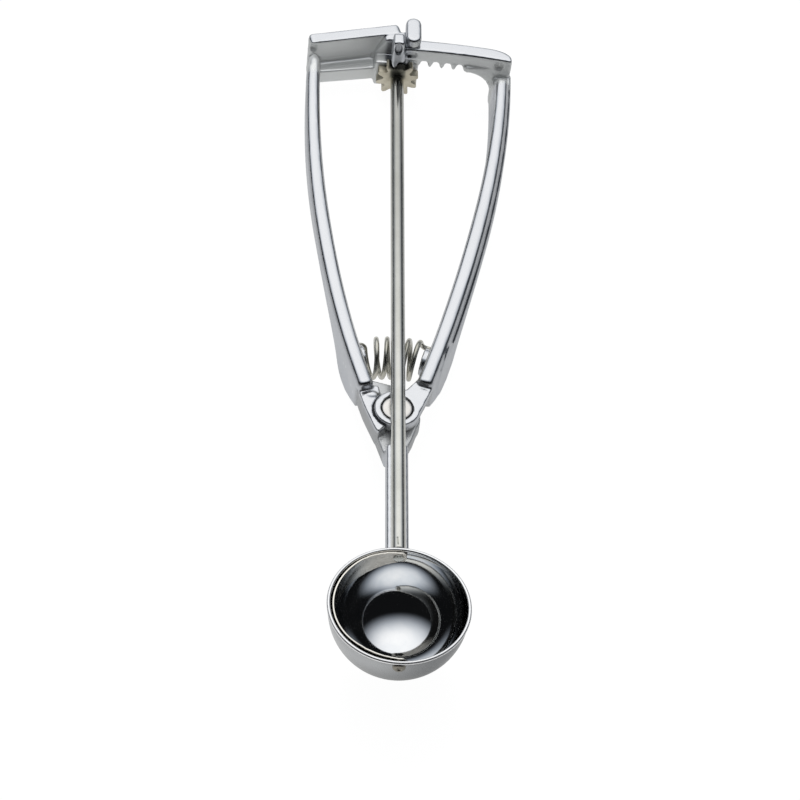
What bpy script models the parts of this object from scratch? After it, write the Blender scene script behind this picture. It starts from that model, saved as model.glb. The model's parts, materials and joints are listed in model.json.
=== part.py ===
# Ice cream scoop with squeeze handles: a pinion on the rod turns the scraper round the bowl.
# Metres. Every piece is modelled in the tool's own frame and hangs from one empty, which lays
# the tool on the table as it rests. In that frame the rod's axis is Y, the bowl's middle is the
# origin, the handles lie towards +Y, the bowl opens to +Z and the moving handle is on the +X side.
import math

import bmesh
import bpy
from mathutils import Matrix, Vector
from mathutils.geometry import intersect_line_line_2d

# Clearances
GAP = 0.0003            # between two pieces that touch
RUN = 0.00045           # between two pieces that slide or turn past each other

# Bowl and scraper
BOWL_RADIUS = 0.0182    # outside of the ball
BOWL_WALL = 0.0006
BOWL_COLLAR = 0.0021    # straight wall from the ball's middle up to the rim
SCRAPER_SHEET = 0.0006
SCRAPER_HALF_WIDTH = 0.0032
TAB_HALF_WIDTH = 0.0019
TAB_LENGTH = 0.0022     # how far each tab runs past the rod's axis
TAB_TAPER_DEG = 34.0    # from the axis to where the band has its full width
SCRAPER_REST_DEG = 5.5  # below level, on the left

# Rod, its neck through the bowl's wall, and the pin on the far side of the bowl
ROD_RADIUS = 0.0020
ROD_TAIL = 0.0012       # past the bearing
ROD_EDGE = 0.0004       # chamfer at both ends
NECK_RADIUS = 0.0013
PEEN_RADIUS = 0.0019
PEEN_HEIGHT = 0.0005
PIN_RADIUS = 0.0012
CREASE_LENGTH = 0.0026
CREASE_WIDTH = 0.0005
CREASE_DEPTH = 0.0004
CREASE_FROM_BOWL = 0.0030

# Pinion and rack. The rack is an arc round the pivot, so the rod turns 23 times as far.
PIVOT_Y = 0.0706        # from the bowl's middle to the rivet
RACK_RADIUS = 0.1306    # from the rivet, where the rack's pitch is measured
PINION_TEETH = 10
RACK_TEETH_IN_CIRCLE = 230
RACK_TEETH = 6
PINION_WIDTH = 0.0028
PINION_AHEAD = 0.0002   # the pinion's middle, in front of the rack's radius
PINION_TIP = 0.00072    # tooth above the pitch line
PINION_ROOT = 0.00138   # tooth below the pitch line
RACK_TIP = 0.00085
PINION_TOOTH = 0.0015   # thickness on the pitch line
RACK_TOOTH = 0.0013
REST_PHASE_DEG = -5.0   # the pinion's top tooth leans this far at rest
SQUEEZE_DEG = 7.6

# Pivot, seen from above: the moving eye, the fixed boss under it, the rivet through both
EYE_TOP = -0.0025
EYE_THICKNESS = 0.0033
EYE_RADIUS = 0.0063
BOSS_RADIUS = 0.0067
BOSS_BOTTOM = -0.0109
CHEEK_TOP = -0.0033
RIVET_HEAD_RADIUS = 0.0041
RIVET_HEAD_HEIGHT = 0.0012
RIVET_SHANK_RADIUS = 0.0026
RIVET_TAIL_RADIUS = 0.0040
RIVET_TAIL_HEIGHT = 0.0012
WASHER_RADIUS = 0.0050
WASHER_THICKNESS = 0.0008

# Arms: a bar on top of a deep web. Plan curves start at the pivot end, measured from the rivet.
BAR_WIDTH_LOW = 0.0047
BAR_WIDTH_HIGH = 0.0039
BAR_HEIGHT = 0.0042
BAR_ROUND = 0.0017
WEB_ROUND = 0.0008
FIXED_WEB = (0.0036, 0.0036)    # thickness at the pivot and at the corner
FIXED_WEB_PROUD = (-0.0002, -0.0002)    # the web's outer face, past the bar's
MOVING_WEB = (0.0042, 0.0058)
MOVING_WEB_PROUD = (-0.0006, 0.0010)
PROUD_FROM = 0.0070     # the outer face swings out between these distances from the rivet
PROUD_TO = 0.0260
WEB_FROM = 0.006        # share of the arm's curve where the web starts
FIXED_START = (-0.0089, 0.0076)
FIXED_BEND = ((-0.0204, 0.0454), (-0.0258, 0.0814))
FIXED_CORNER_X = -0.0255
FIXED_BAR_SHORT = 0.0048    # the bar's end, short of the rack's radius
MOVING_START = (0.0078, 0.0092)
MOVING_BEND = ((0.0195, 0.0464), (0.0295, 0.0864))
MOVING_CORNER_X = 0.0310
MOVING_BAR_SHORT = 0.0062
# Heights of the bar's top and the web's lower edge, against the distance from the rivet
BAR_TOP = ((0.005, -0.0005), (0.026, 0.0003), (0.060, 0.0036), (0.126, 0.0071))
WEB_EDGE = ((0.004, -0.0107), (0.0075, -0.0110), (0.0125, -0.0141), (0.0175, -0.0161), (0.0240, -0.0161),
            (0.0280, -0.0112), (0.036, -0.0082), (0.047, -0.0054), (0.059, -0.0038), (0.074, -0.0044),
            (0.098, -0.0060), (0.120, -0.0070), (0.136, -0.0072))
LAND_HEIGHT = -0.0066   # the corners' flat lands, at the rack's radius

# Return spring and its seats, a disc with a peg on each arm
SPRING_OUTSIDE = 0.0061
SPRING_WIRE = 0.0007    # radius of the wire
SPRING_CURLS = 5
SPRING_POINTS = 10      # on each curl
SEAT_FROM_PIVOT = 0.0215
SEAT_RADIUS = 0.0075
SEAT_PROUD = 0.0006
SEAT_LAND = 0.00025     # cut flat off the disc's underside
PEG_RADIUS = 0.0040
PEG_LENGTH = 0.0022

# Crossbars at the far end. The moving one is the rack, the fixed one the channel behind it.
RACKBAR_TOP = 0.0114
RACKBAR_UNDERSIDE = 0.0052
RACKBAR_FRONT = -0.0003 # its front face on the rod's axis, from the rack's radius
RACKBAR_BOW = 0.200     # radius of that face in plan
RACKBAR_STEPS = 8       # straight pieces along it
RACKBAR_DEPTH = 0.0047
RACKBAR_LEFT = -0.0023
RACKBAR_RIGHT = 0.0336
RACKBAR_CORNER = (0.0064, 0.0030)   # the rounded far corner, across and deep
GUSSET = 0.0080         # round fillet from the crossbar down into the arm
NUB_RIGHT = 0.0012
NUB_TOP = 0.0150
NUB_FRONT = -0.0020     # proud of the rack bar, from the rack's radius
NUB_BACK = 0.0028
NUB_FOOT_RIGHT = 0.0017 # its foot in front of the bar is wider
NUB_OVAL = (0.0011, 0.0021, 0.0124)    # half width, half height and middle of its pocket
POCKET_DEPTH = 0.0010
LUG_WIDTH = 0.0047
LUG_TOP = 0.0151
LUG_FRONT = -0.0007     # from the rack's radius
LUG_BACK = 0.0101
WALL_TOP = 0.0098
WALL_BOTTOM = -0.0050
WALL_THICKNESS = 0.0041
WALL_LEFT = (-0.0266, 0.0016)   # near face, from the rivet across and from the rack's radius
WALL_RIGHT = (-0.0030, 0.0077)
LEDGE_TOP = 0.0016
LEDGE_FALL = 0.0003
LEDGE_COVE = ((0, 0.0014), (0.0003, 0.0006), (0.0008, 0.00015), (0.0016, 0))    # out, and up
LEDGE_DEPTH = (0.0038, 0.0052)  # left end and right end
LEDGE_EDGE = -0.0030
POST_FOOT = -0.0086     # left end of the post's foot. Its side leans from there to the wall's top.
BEARING_LEFT = -0.0070
BEARING_RIGHT = 0.0062
BEARING_LENGTH = 0.0070
BEARING_TOP = 0.0038

# Stem from the boss to the bowl
STEM_WIDTH = 0.0060
STEM_TOP = -0.0026
STEM_BOTTOM = -0.0076
STEM_SHORT = 0.0130     # the stem's top ends this far before the rivet

# Worked out from the sizes above
PITCH_RADIUS = RACK_RADIUS * PINION_TEETH / RACK_TEETH_IN_CIRCLE
RATIO = RACK_TEETH_IN_CIRCLE / PINION_TEETH
RACK_STEP = 2 * math.pi / RACK_TEETH_IN_CIRCLE
RACK_START = math.radians(REST_PHASE_DEG) / RATIO
RACK_ROOT = PITCH_RADIUS + PINION_TIP + GAP
PINION_Y = PIVOT_Y + RACK_RADIUS - PINION_AHEAD
BOSS_TOP = EYE_TOP - EYE_THICKNESS - GAP
SPRING_AXIS = -ROD_RADIUS - RUN - SPRING_OUTSIDE
COIL_RADIUS = SPRING_OUTSIDE - SPRING_WIRE
BORE_RADIUS = ROD_RADIUS + GAP
PIVOT = Vector((0, PIVOT_Y, 0))
UP = Vector((0, 0, 1))


def clear_scene():
    for item in list(bpy.data.objects):
        bpy.data.objects.remove(item, do_unlink=True)


def metal(name, colour, roughness):
    material = bpy.data.materials.new(name)
    material.use_nodes = True
    shader = material.node_tree.nodes["Principled BSDF"]
    shader.inputs["Base Color"].default_value = (*colour, 1)
    shader.inputs["Metallic"].default_value = 1
    shader.inputs["Roughness"].default_value = roughness
    material.diffuse_color = (*colour, 1)
    return material


def empty(name, parent=None, location=(0, 0, 0)):
    item = bpy.data.objects.new(name, None)
    bpy.context.scene.collection.objects.link(item)
    item.parent = parent
    item.location = location
    return item


def make(name, bm, parent, material=None, location=(0, 0, 0)):
    """An object from a bmesh, smooth but for its corners."""
    bent = [face for face in bm.faces if len(face.verts) == 4]
    bmesh.ops.triangulate(bm, faces=bent)
    bmesh.ops.recalc_face_normals(bm, faces=bm.faces)
    mesh = bpy.data.meshes.new(name)
    bm.to_mesh(mesh)
    bm.free()
    mesh.shade_smooth()
    mesh.set_sharp_from_angle(angle=math.radians(35))
    if material:
        mesh.materials.append(material)
    item = bpy.data.objects.new(name, mesh)
    bpy.context.scene.collection.objects.link(item)
    item.parent = parent
    item.location = location
    return item


def guide(item):
    item.hide_render = True
    item.display_type = "WIRE"
    return item


def combine(item, others, operation):
    """All the others joined to the item, or cut from it, in one step."""
    group = bpy.data.collections.new(item.name + "_" + operation.lower())
    for other in others:
        group.objects.link(guide(other))
    step = item.modifiers.new(operation.lower(), "BOOLEAN")
    step.operation = operation
    step.operand_type = "COLLECTION"
    step.collection = group


def round_edges(item, width, segments=2, angle=40):
    bevel = item.modifiers.new("rounded", "BEVEL")
    bevel.width = width
    bevel.segments = segments
    bevel.limit_method = "ANGLE"
    bevel.angle_limit = math.radians(angle)
    return item


def smooth_step(points, x):
    """Height at x on a smooth curve through (x, height) points."""
    if x <= points[0][0]:
        return points[0][1]
    for (x0, z0), (x1, z1) in zip(points, points[1:]):
        if x <= x1:
            t = (x - x0) / (x1 - x0)
            return z0 + (z1 - z0) * t
    return points[-1][1]


def height_at(points, x, spread=0.004):
    """The same curve, its corners eased over a short spread."""
    samples = [smooth_step(points, x + spread * k / 3) for k in range(-3, 4)]
    return sum(samples) / len(samples)


def bezier(points, t):
    a, b, c, d = (Vector(p) for p in points)
    s = 1 - t
    place = s ** 3 * a + 3 * s * s * t * b + 3 * s * t * t * c + t ** 3 * d
    slope = 3 * s * s * (b - a) + 6 * s * t * (c - b) + 3 * t * t * (d - c)
    return place, slope.normalized()


def rounded_ring(width, top, bottom, radius, steps=3):
    """Corner-rounded outline of a bar's section, as (across, height) pairs."""
    radius = min(radius, 0.49 * width, 0.49 * (top - bottom))
    ring = []
    corners = ((1, top, 0), (-1, top, 90), (-1, bottom, 180), (1, bottom, 270))
    for side, height, start in corners:
        across = side * (width / 2 - radius)
        up = height - radius if height == top else height + radius
        for k in range(steps + 1):
            angle = math.radians(start + 90 * k / steps)
            ring.append((across + radius * math.cos(angle), up + radius * math.sin(angle)))
    return ring


def loft(rings):
    """A closed body through rings of points, its ends capped."""
    bm = bmesh.new()
    rows = [[bm.verts.new(point) for point in ring] for ring in rings]
    count = len(rows[0])
    for low, high in zip(rows, rows[1:]):
        for i in range(count):
            j = (i + 1) % count
            bm.faces.new((low[i], low[j], high[j], high[i]))
    bm.faces.new(rows[0])
    bm.faces.new(rows[-1])
    return bm


def prism(outline, bottom, top):
    """An outline in plan, raised from one height to another."""
    return loft([[(x, y, z) for x, y in outline] for z in (bottom, top)])


def block(x0, x1, y0, y1, z0, z1):
    return prism(((x0, y0), (x1, y0), (x1, y1), (x0, y1)), z0, z1)


def arc(centre, radius, start_deg, end_deg, steps):
    points = []
    for k in range(steps + 1):
        angle = math.radians(start_deg + (end_deg - start_deg) * k / steps)
        points.append((centre[0] + radius * math.cos(angle), centre[1] + radius * math.sin(angle)))
    return points


def rod_shape(radius, start, end, sides=32):
    """A round bar between two points."""
    start = Vector(start)
    end = Vector(end)
    bm = bmesh.new()
    turn = UP.rotation_difference(end - start).to_matrix().to_4x4()
    place = Matrix.Translation((start + end) / 2) @ turn
    bmesh.ops.create_cone(bm, cap_ends=True, segments=sides, radius1=radius, radius2=radius,
                          depth=(end - start).length, matrix=place)
    return bm


def turned(profile, axis, sides=32, closed_profile=False):
    """A body turned round an axis through the origin: profile is (along, radius) pairs."""
    axis = Vector(axis)
    side = axis.orthogonal().normalized()
    bm = bmesh.new()
    verts = [bm.verts.new(axis * along + side * radius) for along, radius in profile]
    pairs = list(zip(verts, verts[1:]))
    if closed_profile:
        pairs.append((verts[-1], verts[0]))
    edges = [bm.edges.new(pair) for pair in pairs]
    bmesh.ops.spin(bm, geom=verts + edges, cent=(0, 0, 0), axis=axis, angle=2 * math.pi,
                   steps=sides, use_merge=True)
    bmesh.ops.remove_doubles(bm, verts=bm.verts, dist=1e-6)
    return bm


def arm_curve(side):
    """The arm's plan curve, from the pivot end to its corner."""
    if side < 0:
        return (FIXED_START, *FIXED_BEND, (FIXED_CORNER_X, RACK_RADIUS - FIXED_BAR_SHORT))
    return (MOVING_START, *MOVING_BEND, (MOVING_CORNER_X, RACK_RADIUS - MOVING_BAR_SHORT))


def arm_station(side, t):
    """Place on the arm and its outward direction."""
    place, slope = bezier(arm_curve(side), t)
    outward = Vector((-slope.y, slope.x)) * (1 if side < 0 else -1)
    return place, slope, outward


def seat_station(side):
    """The station where the spring's seat sits, found by halving."""
    low, high = 0.0, 1.0
    for _ in range(40):
        middle = (low + high) / 2
        if bezier(arm_curve(side), middle)[0].y < SEAT_FROM_PIVOT:
            low = middle
        else:
            high = middle
    return arm_station(side, low)


def arm_bar(side, stations=21):
    """The rounded bar along the top of an arm, its ends drawn in."""
    rings = []
    spans = [(k / stations, 1.0, 0.0) for k in range(1, stations)]
    ends = ((0.62, 0.70), (0.90, 0.40), (1.0, 0.0))
    first = [(0.0, size, -BAR_ROUND * reach) for size, reach in ends]
    last = [(1.0, size, BAR_ROUND * reach) for size, reach in reversed(ends)]
    for t, size, beyond in first + spans + last:
        place, slope, outward = arm_station(side, t)
        top = height_at(BAR_TOP, place.y)
        middle = top - BAR_HEIGHT / 2
        half = BAR_HEIGHT / 2 * size
        centre = place + slope * beyond
        ring = rounded_ring(bar_width(place) * size, middle + half, middle - half, BAR_ROUND * size)
        rings.append([(*(centre + outward * across), height) for across, height in ring])
    return loft(rings)


def bar_width(place):
    """The bar keeps its width up to half way, then narrows to the corner."""
    share = min(1.0, max(0.0, 2 * place.y / RACK_RADIUS - 1))
    return BAR_WIDTH_LOW + (BAR_WIDTH_HIGH - BAR_WIDTH_LOW) * share


def web_size(side, place):
    """Thickness of an arm's web, and how far outward its middle lies from the bar's."""
    thick, proud = (FIXED_WEB, FIXED_WEB_PROUD) if side < 0 else (MOVING_WEB, MOVING_WEB_PROUD)
    thickness = thick[0] + (thick[1] - thick[0]) * min(1.0, place.y / RACK_RADIUS)
    swing = min(1.0, max(0.0, (place.y - PROUD_FROM) / (PROUD_TO - PROUD_FROM)))
    stands = proud[0] + (proud[1] - proud[0]) * swing
    return thickness, (bar_width(place) - thickness) / 2 + stands


def arm_web(side, corner_y, stations=26):
    """The deep wall under an arm's bar, run on straight to the corner."""
    rings = []
    places = [arm_station(side, WEB_FROM + (1 - WEB_FROM) * k / stations) for k in range(stations + 1)]
    end, slope, outward = places[-1]
    run_on = (corner_y - end.y) / slope.y
    places.append((end + slope * run_on / 2, slope, outward))
    places.append((end + slope * run_on, slope, outward))
    for place, slope, outward in places:
        top = height_at(BAR_TOP, place.y) - 0.7 * BAR_HEIGHT
        bottom = height_at(WEB_EDGE, place.y)
        thickness, shift = web_size(side, place)
        centre = place + outward * shift
        ring = rounded_ring(thickness, top, bottom, WEB_ROUND, steps=2)
        rings.append([(*(centre + outward * across), height) for across, height in ring])
    return loft(rings)


def seat_face(side):
    """Middle of the spring seat's face, and the direction it faces."""
    place, slope, outward = seat_station(side)
    thickness, shift = web_size(side, place)
    face = place + outward * (shift - thickness / 2 - SEAT_PROUD)
    return face, -outward, slope, thickness


def seat_disc(side):
    face, inward, _, thickness = seat_face(side)
    back = face - inward * (thickness + SEAT_PROUD - 0.0002)
    return rod_shape(SEAT_RADIUS, (*face, SPRING_AXIS), (*back, SPRING_AXIS), sides=40)


def seat_peg(side):
    face, inward, _, thickness = seat_face(side)
    root = face - inward * (thickness / 2)
    tip = face + inward * PEG_LENGTH
    return rod_shape(PEG_RADIUS, (*root, SPRING_AXIS), (*tip, SPRING_AXIS), sides=24)


def rest_line():
    """Two points of the table's plane, as (distance from the rivet, height)."""
    seat_y = seat_face(1)[0].y
    return (seat_y, SPRING_AXIS - SEAT_RADIUS + SEAT_LAND), (RACK_RADIUS, LAND_HEIGHT)


def rest_tilt():
    (y0, z0), (y1, z1) = rest_line()
    return math.atan2(z1 - z0, y1 - y0)


def table_cutter():
    """A slab whose top is the table's plane. It cuts the flat lands."""
    (y0, z0), _ = rest_line()
    bm = block(-0.1, 0.1, -0.2, 0.2, -0.05, 0)
    tilt = Matrix.Rotation(rest_tilt(), 4, "X")
    bmesh.ops.transform(bm, matrix=Matrix.Translation((0, y0, z0)) @ tilt, verts=bm.verts)
    return bm


def tooth_section(half_root, half_pitch, half_tip, root, tip):
    """A tooth's outline, as (across, distance below the pitch line is negative) pairs."""
    shoulder = 0.8 * tip
    return ((-half_root, root), (-half_pitch, 0), (-half_tip, shoulder), (-0.4 * half_tip, tip),
            (0.4 * half_tip, tip), (half_tip, shoulder), (half_pitch, 0), (half_root, root))


def pinion_shape():
    section = tooth_section(0.67 * PINION_TOOTH, PINION_TOOTH / 2, 0.3 * PINION_TOOTH,
                            -PINION_ROOT, PINION_TIP)
    outline = []
    for tooth in range(PINION_TEETH):
        middle = math.radians(90 + REST_PHASE_DEG) - 2 * math.pi * tooth / PINION_TEETH
        for across, out in section:
            radius = PITCH_RADIUS + out
            angle = middle - across / radius
            outline.append((radius * math.cos(angle), radius * math.sin(angle)))
    front = PINION_Y - PINION_WIDTH / 2
    back = PINION_Y + PINION_WIDTH / 2
    return loft([[(x, y, z) for x, z in outline] for y in (front, back)])


def rack_tooth(number):
    """A tooth under the rack bar, square to the rod when it meets the pinion. The nub carries the first."""
    angle = RACK_START + RACK_STEP * (0.5 - number)
    section = tooth_section(0.75 * RACK_TOOTH, RACK_TOOTH / 2, 0.27 * RACK_TOOTH,
                            PITCH_RADIUS - RACK_ROOT - GAP, RACK_TIP)
    rings = []
    front = NUB_FRONT if number == 0 else RACKBAR_FRONT
    for reach in (front + GAP / 2, RACKBAR_FRONT + RACKBAR_DEPTH - 2 * GAP):
        radius = RACK_RADIUS + reach
        ring = []
        for across, down in section:
            x = -radius * math.sin(angle) + across * math.cos(angle)
            y = radius * math.cos(angle) + across * math.sin(angle)
            ring.append((x, y, PITCH_RADIUS - down))
        rings.append(ring)
    return loft(rings)


def rackbar_front(x):
    """How far the rack bar's front face lies from the rack's radius."""
    return RACKBAR_FRONT - x * x / (2 * RACKBAR_BOW)


def rackbar_back(x):
    return RACK_RADIUS + rackbar_front(x) + RACKBAR_DEPTH


def rackbar_outline(left, right, corner):
    """Plan of the bowed rack bar between two places, its far corner an elliptic round."""
    across, deep = corner
    stations = [left + (right - left) * k / RACKBAR_STEPS for k in range(RACKBAR_STEPS + 1)]
    points = [(x, RACK_RADIUS + rackbar_front(x)) for x in stations]
    for k in range(7):
        angle = math.pi / 2 * k / 6
        x = right - across * (1 - math.cos(angle))
        points.append((x, rackbar_back(x) - deep * (1 - math.sin(angle))))
    clear_of_corner = [x for x in reversed(stations) if x < right - across - GAP]
    return points + [(x, rackbar_back(x)) for x in clear_of_corner]


def gusset():
    """The corner under the crossbar's far end, filled by a round fillet down to the arm's foot."""
    thickness, shift = web_size(1, Vector((MOVING_CORNER_X, RACK_RADIUS)))
    inner = MOVING_CORNER_X + shift - thickness / 2
    outer = RACKBAR_RIGHT - 0.0006
    top = RACKBAR_UNDERSIDE + 0.0020
    outline = [(outer, LAND_HEIGHT), (outer, top), (inner - GUSSET, top)]
    for k in range(9):
        angle = math.pi / 2 * k / 8
        drop = GUSSET * (1 - math.cos(angle)) - 0.0001
        outline.append((inner - GUSSET * (1 - math.sin(angle)), RACKBAR_UNDERSIDE - drop))
    outline.append((inner, LAND_HEIGHT))
    front = RACK_RADIUS + rackbar_front(RACKBAR_RIGHT) + 0.0008
    return loft([[(x, y, z) for x, z in outline] for y in (front, front + 0.0026)])


def rackbar_back_reach():
    """Farthest that the rack bar's back comes from the rivet where it passes the post."""
    reach = 0.0
    swing = math.radians(SQUEEZE_DEG)
    for k in range(41):
        x = RACKBAR_LEFT + (RACKBAR_RIGHT - RACKBAR_LEFT) * k / 40
        y = rackbar_back(x)
        if math.atan2(x, y) - swing < math.atan2(BEARING_RIGHT, y):
            reach = max(reach, math.hypot(x, y))
    return reach


def stadium(x_middle, width, y0, y1, steps=6):
    half = width / 2
    front = arc((x_middle, y0 + half), half, 180, 360, steps)
    back = arc((x_middle, y1 - half), half, 0, 180, steps)
    return front + back


def fixed_handle(parent, material):
    """One casting: arm, channel behind the rack, bearing, lug, boss and stem."""
    y = RACK_RADIUS
    wall_left = Vector((WALL_LEFT[0], y + WALL_LEFT[1]))
    wall_right = Vector((WALL_RIGHT[0], y + WALL_RIGHT[1]))
    along = (wall_right - wall_left).normalized()
    behind = Vector((-along.y, along.x))

    body = make("fixed_handle", arm_web(-1, wall_left.y + WALL_THICKNESS / 2), parent, material, PIVOT)
    parts = [make("fixed_bar", arm_bar(-1), parent, None, PIVOT)]
    parts.append(make("fixed_seat", seat_disc(-1), parent, None, PIVOT))
    parts.append(make("fixed_peg", seat_peg(-1), parent, None, PIVOT))

    rings = []
    for place, ledge in zip((wall_left, wall_right + along * 0.004), LEDGE_DEPTH):
        channel = [(WALL_THICKNESS, WALL_TOP), (0, WALL_TOP)]
        channel += [(-out, LEDGE_TOP + rise) for out, rise in LEDGE_COVE]
        channel += [(-ledge, LEDGE_TOP - LEDGE_FALL), (-ledge, LEDGE_EDGE)]
        channel += [(-ledge + 0.0025, WALL_BOTTOM), (WALL_THICKNESS, WALL_BOTTOM)]
        rings.append([(*(place + behind * depth), height) for depth, height in channel])
    parts.append(round_edges(make("fixed_channel", loft(rings), parent, None, PIVOT), 0.0010))

    bearing_front = PINION_Y - PIVOT_Y + PINION_WIDTH / 2 + GAP
    bearing_back = bearing_front + BEARING_LENGTH
    bearing = block(BEARING_LEFT, BEARING_RIGHT, bearing_front, bearing_back,
                    WALL_BOTTOM - 0.0002, BEARING_TOP)
    parts.append(round_edges(make("fixed_bearing", bearing, parent, None, PIVOT), 0.0006))

    post_front = rackbar_back_reach() + RUN
    lug_back = y + LUG_BACK
    post_right = BEARING_RIGHT - 0.0004
    post_top = WALL_TOP - 0.0003
    post_bottom = WALL_BOTTOM + 0.0003
    post_outline = ((post_right, post_bottom), (post_right, post_top), (WALL_RIGHT[0] - 0.0012, post_top),
                    (POST_FOOT, LEDGE_TOP), (POST_FOOT, post_bottom))
    post = loft([[(x, place, z) for x, z in post_outline] for place in (post_front, lug_back - 0.0005)])
    parts.append(round_edges(make("fixed_post", post, parent, None, PIVOT), 0.0009))

    lug_middle = NUB_RIGHT + GAP + LUG_WIDTH / 2
    neck_half = LUG_WIDTH / 2 - 0.0004
    neck = block(lug_middle - neck_half, lug_middle + neck_half, post_front + 0.0003, lug_back - 0.0003,
                 0.001, LUG_TOP - 0.0012)
    parts.append(round_edges(make("fixed_lug_neck", neck, parent, None, PIVOT), 0.0008))
    lug = prism(stadium(lug_middle, LUG_WIDTH, y + LUG_FRONT, lug_back), RACKBAR_TOP + RUN, LUG_TOP)
    parts.append(round_edges(make("fixed_lug", lug, parent, None, PIVOT), 0.0009, 3))

    stem_end = -STEM_SHORT
    taper = ((-0.0108, 0.0085), (-0.0098, 0.0052), (-0.0085, 0.0009), (-0.0059, -0.0058), (-0.0031, -0.0150),
             (0.0029, -0.0155), (0.0030, -0.0115), (0.0046, -0.0075), (0.0061, -0.0025), (0.0058, 0.0035),
             (0.0025, 0.0060), (0.0022, 0.0105), (-0.0075, 0.0130))
    plate = prism(taper, BOSS_BOTTOM + 0.0002, BOSS_TOP)
    parts.append(round_edges(make("fixed_plate", plate, parent, None, PIVOT), 0.0005))
    boss = rod_shape(BOSS_RADIUS, (0, 0, BOSS_BOTTOM), (0, 0, BOSS_TOP - 0.0002), sides=40)
    parts.append(make("fixed_boss", boss, parent, None, PIVOT))
    cheek = ((-0.0108, 0.0085), (-0.0103, 0.0052), (-0.0090, 0.0009), (-0.0067, -0.0052), (-0.0059, -0.0072),
             (-0.0050, -0.0080), (-0.0030, -0.0060), (-0.0030, -0.0030), (-0.0050, 0.0085))
    cheek_body = prism(cheek, BOSS_BOTTOM + 0.001, CHEEK_TOP)
    parts.append(round_edges(make("fixed_cheek", cheek_body, parent, None, PIVOT), 0.0003))

    bowl_end = BOWL_RADIUS * 0.8 - PIVOT_Y
    rings = []
    for place in (bowl_end, stem_end):
        ring = rounded_ring(STEM_WIDTH, STEM_TOP, STEM_BOTTOM, 0.0009)
        rings.append([(across, place, height) for across, height in ring])
    parts.append(make("fixed_stem", loft(rings), parent, None, PIVOT))
    combine(body, parts, "UNION")

    cuts = [make("cut_table", table_cutter(), parent, None, PIVOT)]
    recess = rod_shape(EYE_RADIUS + RUN, (0, 0, BOSS_TOP), (0, 0, 0.01), sides=40)
    cuts.append(make("cut_recess", recess, parent, None, PIVOT))
    rivet = rod_shape(RIVET_SHANK_RADIUS + GAP, (0, 0, -0.03), (0, 0, 0.01))
    cuts.append(make("cut_rivet", rivet, parent, None, PIVOT))
    bore = rod_shape(BORE_RADIUS, (0, y - 0.01, 0), (0, y + 0.03, 0))
    cuts.append(make("cut_bearing", bore, parent, None, PIVOT))
    room = rod_shape(PITCH_RADIUS + PINION_TIP + RUN, (0, y - 0.01, 0), (0, bearing_front, 0), sides=40)
    cuts.append(make("cut_pinion_room", room, parent, None, PIVOT))
    ball = bmesh.new()
    bmesh.ops.create_uvsphere(ball, u_segments=48, v_segments=24, radius=BOWL_RADIUS + GAP)
    cuts.append(make("cut_bowl", ball, parent))
    combine(body, cuts, "DIFFERENCE")
    return body


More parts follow.
